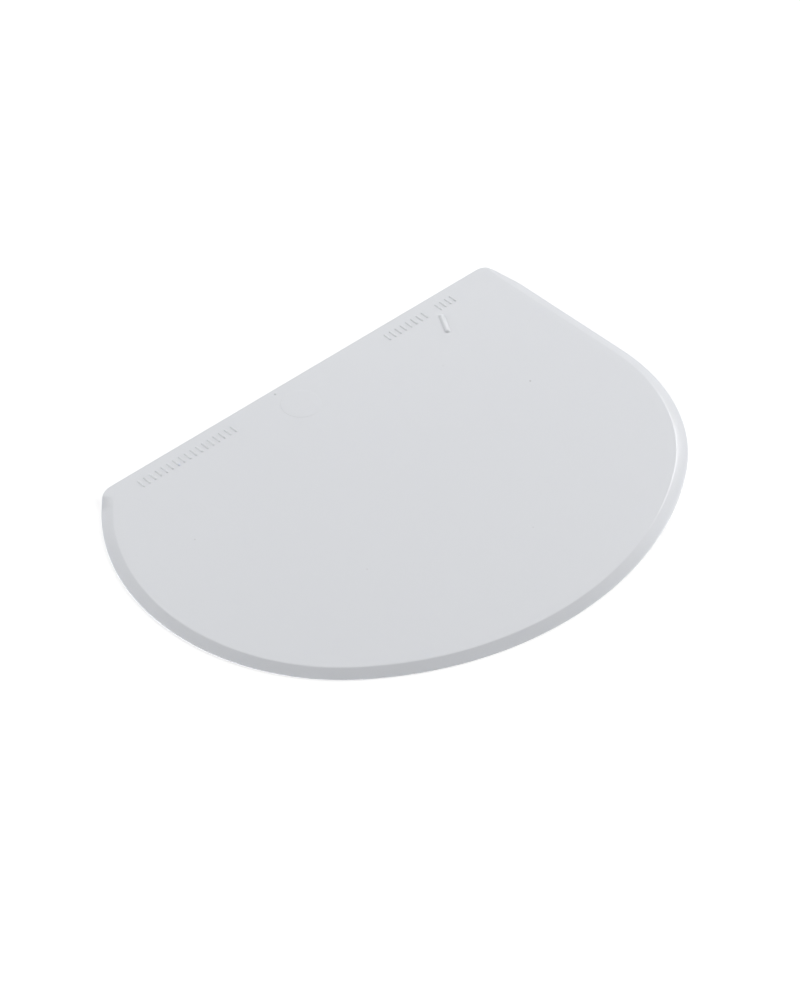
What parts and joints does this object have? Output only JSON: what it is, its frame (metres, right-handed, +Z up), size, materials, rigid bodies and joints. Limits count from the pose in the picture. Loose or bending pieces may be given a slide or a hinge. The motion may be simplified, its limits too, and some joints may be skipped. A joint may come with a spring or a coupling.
{
  "type": "bowl scraper",
  "caption": "Flexible bowl scraper: a thin plastic plate with a blunt straight edge and a bevelled curved side, for gathering dough and cleaning out bowls.",
  "frame": {"origin": "middle of the plate's bounding box, on the underside it lies on", "axes": "+X along the straight edge, +Y from the belly towards the straight edge, +Z up out of the face with the bevel"},
  "size_m": [0.12, 0.0865, 0.0013],
  "materials": {
    "polyethylene": "smooth satin, slightly translucent white with a cool tint"
  },
  "bodies": {
    "root": {"plate": "polyethylene"}
  },
  "joints": []
}
